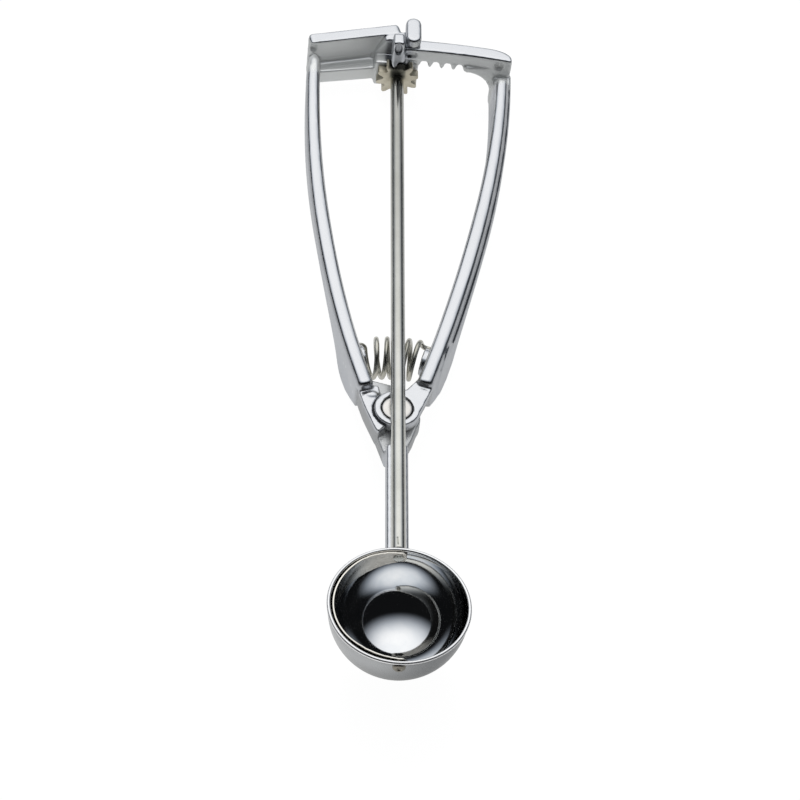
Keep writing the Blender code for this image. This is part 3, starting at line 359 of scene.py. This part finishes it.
def gear_metal():
    """Pale beige plated gear, matt and grainy, with a painted shadow above the rod and painted shade, nearly
    black, where the rack meshes.
    """
    material, graph = new_material("gear_metal")
    place = graph.place()
    grain = graph.noise(place, 2600, 3)
    cloud = graph.noise(place, 300, 3)
    tone = graph.blend(cloud.between(0.3, 0.7), (0.52, 0.48, 0.38, 1), (0.66, 0.62, 0.51, 1))
    tone = graph.blend(grain.between(0.62, 0.75) * 0.4, tone, (0.25, 0.23, 0.19, 1))
    x, y, z = in_tool_frame(graph)[1:]
    aside = (x * x) ** 0.5
    # Painted shadow of the rack on the gear, just above the rod.
    painted_rack_shadow = aside.between(0.0027, 0.0018) * z.between(0.0, 0.0014)
    # Painted shade, nearly black, at the top where the rack meshes.
    painted_mesh_shade = aside.between(0.0038, 0.0024) * z.between(0.0036, 0.0048)
    tone = graph.blend(painted_rack_shadow * 0.8, tone, (0.13, 0.135, 0.115, 1))
    tone = graph.blend(painted_mesh_shade * 0.9, tone, (0.03, 0.03, 0.028, 1))
    roughness = 0.42 + 0.16 * (grain - 0.5) + 0.1 * (cloud - 0.5)
    finish_metal(graph, tone, roughness, graph.bump(grain, 0.18, 0.00005))
    return material


def deselect_all():
    if bpy.context.mode != "OBJECT":
        bpy.ops.object.mode_set(mode="OBJECT")
    bpy.ops.object.select_all(action="DESELECT")


def take_up(item):
    """Makes the item the only one that is selected."""
    deselect_all()
    item.select_set(True)
    bpy.context.view_layer.objects.active = item


def edit_all(item):
    take_up(item)
    bpy.ops.object.mode_set(mode="EDIT")
    bpy.ops.mesh.select_all(action="SELECT")


def done_editing():
    bpy.ops.object.mode_set(mode="OBJECT")


def pick_faces(item, wanted):
    """Goes to edit mode with only those faces selected whose middle is wanted."""
    take_up(item)
    bpy.ops.object.mode_set(mode="EDIT")
    bpy.ops.mesh.select_mode(type="FACE")
    bpy.ops.mesh.select_all(action="DESELECT")
    done_editing()
    for face in item.data.polygons:
        face.select = wanted(face.center)
    bpy.ops.object.mode_set(mode="EDIT")


def tidy_skin(item, merge=1e-6):
    """Merges doubled points and turns every face outward."""
    edit_all(item)
    bpy.ops.mesh.remove_doubles(threshold=merge)
    bpy.ops.mesh.normals_make_consistent(inside=False)
    done_editing()


def apply_modifiers(item):
    take_up(item)
    for modifier in list(item.modifiers):
        bpy.ops.object.modifier_apply(modifier=modifier.name)


def soften(item, width, segments=3, angle=35):
    bevel = item.modifiers.new("soft_edges", "BEVEL")
    bevel.width = width
    bevel.segments = segments
    bevel.limit_method = "ANGLE"
    bevel.angle_limit = math.radians(angle)
    bevel.use_clamp_overlap = True
    apply_modifiers(item)


def shade(item, angle=40):
    take_up(item)
    bpy.ops.object.shade_smooth_by_angle(angle=math.radians(angle))


def dress(item, material, body, nodes):
    """Gives a finished piece its material and body, and hides the solids that it stands for."""
    item.data.materials.clear()
    item.data.materials.append(material)
    if body:
        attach(item, body)
    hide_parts(*nodes)
    return item


def lay_down(item, matrix=None):
    """Moves a piece from the tool's frame to where the tool lies on the table."""
    item.data.transform(TOOL @ (matrix or Matrix.Identity(4)))
    item.data.update()


def turned(name, profile, sides=96, closed=False):
    """A body turned on a lathe round Z: a ring drawn out and resized at each (height, radius)."""
    deselect_all()
    height, radius = profile[0]
    tip = 1e-5
    bpy.ops.mesh.primitive_circle_add(vertices=sides, radius=max(radius, tip), location=(0, 0, height))
    item = bpy.context.object
    item.name = name
    bpy.ops.object.transform_apply(location=True, rotation=True, scale=True)
    bpy.ops.object.mode_set(mode="EDIT")
    bpy.ops.mesh.select_all(action="SELECT")
    if not closed:
        bpy.ops.mesh.edge_face_add()
        bpy.ops.mesh.select_all(action="SELECT")
        bpy.ops.mesh.region_to_loop()
    for (z0, r0), (z1, r1) in zip(profile, profile[1:]):
        bpy.ops.mesh.extrude_edges_move(TRANSFORM_OT_translate={"value": (0, 0, z1 - z0)})
        ratio = max(r1, tip) / max(r0, tip)
        bpy.ops.transform.resize(value=(ratio, ratio, 1), center_override=(0, 0, z1))
    if not closed:
        bpy.ops.mesh.edge_face_add()
    done_editing()
    tidy_skin(item, 2e-6 if closed else 1e-6)
    return item


ALONG_ROD = Matrix.Rotation(math.radians(-90), 4, "X")    # a lathe's Z laid along the tool's Y
TO_FRONT = Matrix.Rotation(math.radians(90), 4, "X")      # and along its -Y
AT_PIVOT = Matrix.Translation((0, PIVOT_Y, 0))


def cut_away(item, tool_item):
    """Cuts one shape from another and throws the cutter away."""
    step = item.modifiers.new("cut", "BOOLEAN")
    step.operation = "DIFFERENCE"
    step.solver = "EXACT"
    step.object = tool_item
    apply_modifiers(item)
    bpy.data.objects.remove(tool_item)


def drill(item, radius, start, end):
    deselect_all()
    start, end = Vector(start), Vector(end)
    turn = Vector((0, 0, 1)).rotation_difference(end - start)
    bpy.ops.mesh.primitive_cylinder_add(vertices=64, radius=radius, depth=(end - start).length,
                                        location=(start + end) / 2, rotation=turn.to_euler())
    cut_away(item, bpy.context.object)


def copy_of_node(node, name):
    """A free copy of a CAD node's mesh, its loose triangles merged."""
    deselect_all()
    source = frame["nodes"][node]
    item = source.copy()
    item.data = source.data.copy()
    item.name = name
    item.data.name = name
    item.parent = None
    item.matrix_world = Matrix.Identity(4)
    for key in list(item.keys()):
        del item[key]
    bpy.context.scene.collection.objects.link(item)
    take_up(item)
    if item.data.has_custom_normals:
        bpy.ops.mesh.customdata_custom_splitnormals_clear()
    tidy_skin(item, 2e-6)
    return item


def lump(place, size):
    """A small rounded lump, its place measured from the rivet."""
    deselect_all()
    bpy.ops.mesh.primitive_ico_sphere_add(subdivisions=4, radius=1)
    item = bpy.context.object
    item.data.transform(TOOL @ AT_PIVOT @ Matrix.Translation(place) @ Matrix.Diagonal((*size, 1)))
    return item


def casting(node, name, body, material, knobs, hollows):
    """A handle as it leaves the mould: the solid's skin drawn anew in a fine even net, then smoothed."""
    item = copy_of_node(node, name)
    for place, size in hollows:
        cut_away(item, lump(place, size))
    for place, size in knobs:
        knob = lump(place, size)
        take_up(item)
        knob.select_set(True)
        bpy.ops.object.join()
    skin = item.modifiers.new("even_net", "REMESH")
    skin.mode = "VOXEL"
    skin.voxel_size = CASTING_NET
    skin.use_smooth_shade = True
    ease = item.modifiers.new("mould_rounding", "SMOOTH")
    ease.factor = 0.5
    ease.iterations = CASTING_EASE
    apply_modifiers(item)
    return dress(item, material, body, [node])


def make_bowl(material):
    """Spun steel cup: round bottom, straight collar and a rolled bright lip, drilled at both ends."""
    inner = BOWL_RADIUS - BOWL_WALL
    rows = 44
    profile = [(-BOWL_RADIUS * math.cos(k * math.pi / 2 / rows),
                BOWL_RADIUS * math.sin(k * math.pi / 2 / rows)) for k in range(rows + 1)]
    profile.append((BOWL_COLLAR * 0.4, BOWL_RADIUS))
    lip_height = BOWL_COLLAR - LIP_RADIUS
    lip_reach = inner + LIP_RADIUS
    for angle in range(-40, 221, 20):
        turn = math.radians(angle)
        profile.append((lip_height + LIP_RADIUS * math.sin(turn), lip_reach + LIP_RADIUS * math.cos(turn)))
    profile.append((BOWL_COLLAR * 0.4, inner))
    profile += [(-inner * math.sin(k * math.pi / 2 / rows), inner * math.cos(k * math.pi / 2 / rows))
                for k in range(rows + 1)]
    item = turned("bowl_cup", profile, 176)
    drill(item, NECK_RADIUS + SMALL_GAP, (0, 0.013, 0), (0, 0.022, 0))
    drill(item, PIN_RADIUS + SMALL_GAP, (0, -0.013, 0), (0, -0.022, 0))
    lay_down(item)
    shade(item, 50)
    return dress(item, material, "fixed_side", ["bowl"])


def make_rod(material):
    """Bright bar: peened end and neck in the bowl, a shoulder, and a small crease near the bowl."""
    seat = BOWL_RADIUS - BOWL_WALL - 2 * SMALL_GAP - SCRAPER_SHEET
    shoulder = BOWL_RADIUS + SMALL_GAP
    profile = [(seat - PEEN_HEIGHT, 0.0004), (seat - PEEN_HEIGHT, 0.6 * PEEN_RADIUS)]
    for angle in (15, 40, 65, 90):
        turn = math.radians(angle)
        profile.append((seat - PEEN_HEIGHT * 0.25 - PEEN_HEIGHT * 0.7 * math.cos(turn),
                        PEEN_RADIUS * (0.7 + 0.3 * math.sin(turn))))
    profile += [(seat, PEEN_RADIUS), (seat, NECK_RADIUS), (shoulder, NECK_RADIUS),
                (shoulder, ROD_RADIUS - SHOULDER_CHAMFER), (shoulder + SHOULDER_CHAMFER, ROD_RADIUS)]
    steps = 40
    plain = ROD_END - ROD_END_CHAMFER - shoulder - SHOULDER_CHAMFER
    for k in range(1, steps):
        profile.append((shoulder + SHOULDER_CHAMFER + plain * k / steps, ROD_RADIUS))
    profile += [(ROD_END - ROD_END_CHAMFER, ROD_RADIUS), (ROD_END, ROD_RADIUS - ROD_END_CHAMFER),
                (ROD_END, 0.0004)]
    item = turned("drive_rod_bar", profile, 72)
    item.data.transform(ALONG_ROD)
    deselect_all()
    bpy.ops.mesh.primitive_cube_add(size=1, location=(-0.0003, BOWL_RADIUS + 0.0026, ROD_RADIUS + 0.0001))
    crease = bpy.context.object
    crease.dimensions = CREASE_SIZE
    crease.rotation_euler = CREASE_TURN
    bpy.ops.object.transform_apply(location=True, rotation=True, scale=True)
    soften(crease, 0.00012, 2)
    cut_away(item, crease)
    lay_down(item)
    shade(item, 35)
    return dress(item, material, "rod_side", ["drive_rod"])


def make_pinion(material):
    """The gear, its bore drawn tight to the rod and its edges broken."""
    item = copy_of_node("pinion", "pinion_gear")
    edit_all(item)
    bpy.ops.mesh.dissolve_limited(angle_limit=math.radians(4))
    bpy.ops.mesh.select_mode(type="VERT")
    bpy.ops.mesh.select_all(action="DESELECT")
    done_editing()
    item.data.transform(TOOL.inverted())
    for point in item.data.vertices:
        point.select = math.hypot(point.co.x, point.co.z) < PINION_BORE + 0.0001
    bpy.ops.object.mode_set(mode="EDIT")
    tight = ROD_RADIUS / PINION_BORE
    bpy.ops.transform.resize(value=(tight, 1, tight), center_override=(0, PINION_Y, 0))
    done_editing()
    soften(item, BROKEN_EDGE, 3, 30)
    lay_down(item)
    shade(item, 40)
    return dress(item, material, "rod_side", ["pinion"])


def make_scraper(material):
    """A strip of sheet bent round half the ball, tapered to a round tab at the neck and at the pin."""
    outer = BOWL_RADIUS - BOWL_WALL - SMALL_GAP - BAND_SHOWS_GAP
    deselect_all()
    bpy.ops.mesh.primitive_uv_sphere_add(segments=180, ring_count=90, radius=outer)
    item = bpy.context.object
    item.name = "scraper_band"

    def trim(point, normal, end=0):
        """Cuts off what lies outside a plane: near one end of the sheet, or anywhere when no end is given."""
        pick_faces(item, lambda middle: end == 0 or middle.y * end >= 0.5 * outer)
        bpy.ops.mesh.bisect(plane_co=point, plane_no=normal, clear_outer=True, use_fill=False)
        done_editing()

    # the sphere's poles lie across the band: Z is across, Y along the rod, X down the bowl's side
    trim((0, 0, SCRAPER_HALF_WIDTH), (0, 0, 1))
    trim((0, 0, -SCRAPER_HALF_WIDTH), (0, 0, -1))
    trim((-TAB_PAST_AXIS, 0, 0), (-1, 0, 0))
    taper = math.radians(TAB_TAPER_DEG)
    for end in (1, -1):
        for side in (1, -1):
            narrow = Vector((0, end * outer, side * TAB_HALF_WIDTH))
            wide = Vector((outer * math.sin(taper), end * outer * math.cos(taper), side * SCRAPER_HALF_WIDTH))
            edge = (wide - narrow).cross(narrow).normalized()
            if edge.z * side < 0:
                edge = -edge
            trim(narrow, edge, end)
            for lean in (0.3, 0.55, 0.8, 1.05, 1.3):
                corner = Vector((-math.sin(lean), 0, side * math.cos(lean)))
                reach = math.hypot(TAB_PAST_AXIS * math.sin(lean), TAB_HALF_WIDTH * math.cos(lean))
                trim(corner * reach, corner, end)
    edit_all(item)
    bpy.ops.mesh.select_mode(type="VERT")
    done_editing()
    tidy_skin(item, 1e-6)
    sheet = item.modifiers.new("sheet", "SOLIDIFY")
    sheet.thickness = SCRAPER_SHEET - BAND_SHOWS_GAP
    sheet.offset = -1
    apply_modifiers(item)
    soften(item, 0.00016, 3, 50)
    rest = math.radians(180 + SCRAPER_REST_DEG)
    down = Vector((math.cos(rest), 0, math.sin(rest)))
    ahead = Vector((0, 1, 0))
    across = down.cross(ahead)
    turn = Matrix((down, ahead, across)).transposed().to_4x4()
    tidy_skin(item, 1e-7)
    lay_down(item, turn)
    shade(item, 40)
    return dress(item, material, "rod_side", ["scraper"])


def make_scraper_pin(material):
    """Rivet at the front: peened inside, with a low round head outside, dimpled."""
    seat = BOWL_RADIUS - BOWL_WALL - 2 * SMALL_GAP - SCRAPER_SHEET
    foot = BOWL_RADIUS + 0.0001
    profile = [(seat - PEEN_HEIGHT, 0.0003), (seat - PEEN_HEIGHT, 0.7 * PEEN_RADIUS),
               (seat - 0.5 * PEEN_HEIGHT, 0.96 * PEEN_RADIUS), (seat, PEEN_RADIUS), (seat, PIN_RADIUS),
               (foot, PIN_RADIUS), (foot, PIN_HEAD_RADIUS)]
    for angle in (15, 30, 45, 60):
        turn = math.radians(angle)
        profile.append((foot + PIN_HEAD_HEIGHT * math.sin(turn), PIN_HEAD_RADIUS * math.cos(turn)))
    profile += [(foot + share * PIN_HEAD_HEIGHT, reach * PIN_HEAD_RADIUS)
                for share, reach in ((0.88, 0.42), (0.74, 0.34), (0.50, 0.2), (0.44, 0.05))]
    item = turned("scraper_pin_rivet", profile, 48)
    lay_down(item, TO_FRONT)
    shade(item, 45)
    return dress(item, material, "rod_side", ["scraper_pin"])


def make_pivot_rivet(material):
    """Flat-headed rivet, its face dished a little inside a broken edge, with a domed tail."""
    head = EYE_TOP
    tail = BOSS_BOTTOM - 2 * SMALL_GAP - WASHER_THICKNESS
    profile = [(head - 0.00003, 0.0004), (head - 0.00003, 0.5 * RIVET_HEAD_RADIUS),
               (head, 0.8 * RIVET_HEAD_RADIUS), (head - 0.00005, 0.93 * RIVET_HEAD_RADIUS),
               (head - 0.0002, 0.99 * RIVET_HEAD_RADIUS),
               (head - 0.0004, RIVET_HEAD_RADIUS), (head - RIVET_HEAD_HEIGHT, RIVET_HEAD_RADIUS),
               (head - RIVET_HEAD_HEIGHT, RIVET_SHANK_RADIUS), (tail, RIVET_SHANK_RADIUS),
               (tail, RIVET_TAIL_RADIUS)]
    for angle in (10, 25, 40, 55, 70, 80):
        turn = math.radians(angle)
        profile.append((tail - RIVET_TAIL_HEIGHT * math.sin(turn), RIVET_TAIL_RADIUS * math.cos(turn)))
    profile.append((tail - RIVET_TAIL_HEIGHT, 0.0002))
    item = turned("pivot_rivet_pin", profile, 96)
    lay_down(item, AT_PIVOT)
    shade(item, 40)
    return dress(item, material, "fixed_side", ["pivot_rivet"])


def make_washer(material):
    top = BOSS_BOTTOM - SMALL_GAP
    low = top - WASHER_THICKNESS
    bore = RIVET_SHANK_RADIUS + SMALL_GAP
    ease = 0.00015
    profile = [(top, bore + ease), (top, WASHER_RADIUS - ease), (top - ease, WASHER_RADIUS),
               (low + ease, WASHER_RADIUS), (low, WASHER_RADIUS - ease), (low, bore + ease),
               (low + ease, bore), (top - ease, bore), (top, bore + ease)]
    item = turned("rivet_washer_ring", profile, 96, closed=True)
    lay_down(item, AT_PIVOT)
    shade(item, 50)
    return dress(item, material, "fixed_side", ["rivet_washer"])


def make_spring(material):
    """Round wire wound in five curls, bowed round the pivot from one arm's seat to the other's."""
    deselect_all()
    curve = bpy.data.curves.new("return_spring_wire", "CURVE")
    curve.dimensions = "3D"
    curve.bevel_depth = SPRING_WIRE
    curve.bevel_resolution = 5
    curve.use_fill_caps = True
    spline = curve.splines.new("POLY")
    path = spring_path()
    spline.points.add(len(path) - 1)
    for target, point in zip(spline.points, path):
        target.co = (*point, 1)
    item = bpy.data.objects.new("return_spring_wire", curve)
    bpy.context.scene.collection.objects.link(item)
    take_up(item)
    bpy.ops.object.convert(target="MESH")
    item = bpy.context.object
    tidy_skin(item, 1e-6)
    soften(item, 0.00012, 2, 60)
    shade(item, 45)
    lay_down(item, AT_PIVOT)
    dress(item, material, None, ["return_spring"])
    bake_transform(item)


def crossing(first, first_way, second, second_way):
    """Where two lines in plan cross."""
    apart = second - first
    turn = first_way.x * second_way.y - first_way.y * second_way.x
    return first + first_way * ((apart.x * second_way.y - apart.y * second_way.x) / turn)


def spring_path(steps=44):
    """The wire's centreline from the rivet: wound on an axis bowed round where the seats' faces meet."""
    left, right = SEAT_LEFT, SEAT_RIGHT
    meet = crossing(left, Vector((-SEAT_LEFT_FACES.y, SEAT_LEFT_FACES.x)),
                    right, Vector((-SEAT_RIGHT_FACES.y, SEAT_RIGHT_FACES.x)))
    from_angle = math.atan2((left - meet).x, (left - meet).y)
    to_angle = math.atan2((right - meet).x, (right - meet).y)
    from_radius, to_radius = (left - meet).length, (right - meet).length
    length = (to_angle - from_angle) * (from_radius + to_radius) / 2

    def wire(along, turn):
        share = along / length
        angle = from_angle + (to_angle - from_angle) * share
        out = Vector((math.sin(angle), math.cos(angle)))
        radius = from_radius + (to_radius - from_radius) * share + SPRING_RADIUS * math.cos(turn)
        flat = meet + out * radius
        return Vector((flat.x, flat.y, SPRING_AXIS - SPRING_RADIUS * math.sin(turn)))

    total = 2 * math.pi * SPRING_CURLS
    near_end = SMALL_GAP + SPRING_STRAIGHT
    far_end = length - SMALL_GAP - SPRING_STRAIGHT
    coil_from = near_end + SPRING_BEND
    coil_to = length - coil_from
    points = [wire(SMALL_GAP, 0), wire(near_end, 0)]
    for k in range(1, 6):
        turn = k * math.pi / 12
        points.append(wire(near_end + SPRING_BEND * math.sin(turn), SPRING_LEAD * (1 - math.cos(turn))))
    count = SPRING_CURLS * steps
    for k in range(count + 1):
        share = k / count
        points.append(wire(coil_from + (coil_to - coil_from) * share,
                           SPRING_LEAD + (total - 2 * SPRING_LEAD) * share))
    for k in range(5, 0, -1):
        turn = k * math.pi / 12
        points.append(wire(far_end - SPRING_BEND * math.sin(turn),
                           total - SPRING_LEAD * (1 - math.cos(turn))))
    points += [wire(far_end, total), wire(length - SMALL_GAP, total)]
    return points


def pale_rays(graph):
    """1 for what the camera sees, and 1 for what a mirror or a clear part shows of it."""
    path = graph.add("ShaderNodeLightPath", output="Is Camera Ray")
    sockets = path.socket.node.outputs
    return path, Wire(graph, sockets["Is Glossy Ray"]) + Wire(graph, sockets["Is Transmission Ray"])


def make_stage():
    """A wide pale table top: white to the camera with the tool's shadow kept, darker far off to the metal."""
    deselect_all()
    bpy.ops.mesh.primitive_circle_add(vertices=128, radius=3.0, fill_type="NGON", location=(0, 0, 0))
    table = bpy.context.object
    table.name = "table_top"
    bpy.ops.object.mode_set(mode="EDIT")
    bpy.ops.mesh.select_all(action="SELECT")
    bpy.ops.mesh.inset(thickness=1.5)
    done_editing()
    material, graph = new_material("pale_table")
    grain = graph.noise(graph.place(), 40, 3)
    tone = graph.blend(grain, (0.54, 0.54, 0.54, 1), (0.58, 0.58, 0.58, 1))
    matte = graph.add("ShaderNodeBsdfDiffuse", {}, {"Color": tone})
    white = graph.add("ShaderNodeEmission", {}, {"Color": (1, 1, 1, 1), "Strength": 1.1})
    seen, mirrored = pale_rays(graph)
    x, y = graph.parts(graph.place())[:2]
    near = ((x * x) ** 0.5).between(0.062, 0.028)
    in_front = y.between(-0.085, -0.115)
    left_to_right = x.between(-0.032, 0.032, 0.62, 0.42)
    left_to_right = left_to_right - 0.22 * in_front * x.between(-0.030, 0.030)
    share = seen * 0.88 + mirrored * (0.10 + near * (left_to_right - 0.10))
    output(graph, graph.add("ShaderNodeMixShader", {}, {0: share, 1: matte, 2: white}))
    table.data.materials.append(material)


def make_light():
    """A dim studio with a broad soft light above and behind the tool; the lamps aren't mirrored by metal."""
    world = bpy.data.worlds.new("studio")
    bpy.context.scene.world = world
    world.use_nodes = True
    graph = Graph(world.node_tree)
    way = graph.add("ShaderNodeTexCoord", output="Generated")
    facing = graph.add("ShaderNodeVectorMath", {"operation": "DOT_PRODUCT"},
                       {0: way, 1: tuple(SOFT_WAY)}, output="Value")
    x, y, z = graph.parts(way)
    box = facing.between(math.cos(math.radians(62)), math.cos(math.radians(2)))
    glow = x.between(0.3, 0.95) * z.between(0.55, 0.05)
    level = 0.004 + 0.09 * glow + box * 1.2
    tone = graph.blend(box, (0.80, 0.88, 1.0, 1), (1.0, 1.0, 1.0, 1))
    studio = graph.add("ShaderNodeBackground", {}, {"Color": tone, "Strength": level})
    pale = graph.add("ShaderNodeBackground", {}, {"Color": (1, 1, 1, 1), "Strength": 1.0})
    seen, mirrored = pale_rays(graph)
    share = seen + mirrored * 0.003
    mixed = graph.add("ShaderNodeMixShader", {}, {0: share, 1: studio, 2: pale})
    output(graph, mixed, "ShaderNodeOutputWorld")

    for name, way_to, energy in (("soft_light", SOFT_WAY, 9.0), ("front_light", FRONT_WAY, 7.0)):
        lamp = bpy.data.lights.new(name, "AREA")
        lamp.shape = "DISK"
        lamp.size = LIGHT_SIZE
        lamp.energy = energy
        lamp_item = bpy.data.objects.new(name, lamp)
        bpy.context.scene.collection.objects.link(lamp_item)
        lamp_item.location = way_to * LIGHT_DISTANCE
        lamp_item.rotation_euler = (-way_to).to_track_quat("-Z", "Y").to_euler()
        lamp_item.visible_glossy = False
        lamp_item.visible_camera = False


def make_camera():
    """The photograph's view: from the bowl's end, high above the tool, a little to one side."""
    look_down = math.radians(LOOK_DOWN_DEG)
    lean = math.radians(LEAN_DEG)
    side = Vector((math.cos(lean), 0, math.sin(lean)))
    rise = Vector((-math.sin(lean), 0, math.cos(lean)))
    ahead = Vector((0, 1, 0))
    forward = ahead * math.cos(look_down) - rise * math.sin(look_down)
    up = ahead * math.sin(look_down) + rise * math.cos(look_down)
    right = side * math.cos(ROLL) + up * math.sin(ROLL)
    top = up * math.cos(ROLL) - side * math.sin(ROLL)
    turn = Matrix((right, top, -forward)).transposed().to_4x4()
    turn.translation = AIM - forward * CAMERA_DISTANCE
    camera = bpy.data.cameras.new("photo_camera")
    camera.sensor_width = 36
    camera.lens = LENS
    camera.shift_x = LENS_SHIFT
    camera.clip_start = 0.01
    camera.clip_end = 20
    item = bpy.data.objects.new("photo_camera", camera)
    bpy.context.scene.collection.objects.link(item)
    item.matrix_world = TOOL @ turn
    bpy.context.scene.camera = item


def main():
    cast = cast_handle_metal()
    mirror = bowl_mirror()
    # The rod is made darker from 0.06 m along the tool, fully from 0.17 m on towards the handles.
    nickel = drawn_steel("rod_nickel", (0.67, 0.67, 0.635), (0.57, 0.57, 0.53), 0.17, darker_span=(0.06, 0.17))
    wire = drawn_steel("spring_wire", (0.60, 0.585, 0.52), (0.45, 0.44, 0.385), 0.20, (900, 900, 900))
    warm = drawn_steel("scraper_sheet", (0.88, 0.85, 0.78), (0.80, 0.77, 0.70), 0.16, (500, 500, 2600),
                       pale=(0.0120, 0.0165))
    pin = drawn_steel("pin_steel", (0.32, 0.30, 0.26), (0.18, 0.17, 0.145), 0.26, (900, 900, 900))
    rivet = turned_steel("rivet_face", (0.78, 0.76, 0.73), (0.68, 0.66, 0.63), 0.24,
                         TOOL @ Vector((0, PIVOT_Y, 0)))
    gear = gear_metal()

    casting("fixed_handle", "fixed_handle_casting", "fixed_side", cast,
            [CHEEK_OVAL, LEFT_BAR_END], [LEFT_HOLLOW])
    casting("moving_handle", "moving_handle_casting", "moving_side", cast,
            [], [RIGHT_HOLLOW])
    make_bowl(mirror)
    make_rod(nickel)
    make_pinion(gear)
    make_scraper(warm)
    make_scraper_pin(pin)
    make_pivot_rivet(rivet)
    make_washer(rivet)
    make_spring(wire)
    make_stage()
    make_light()
    make_camera()

    bpy.context.scene.view_settings.view_transform = "Standard"


main()
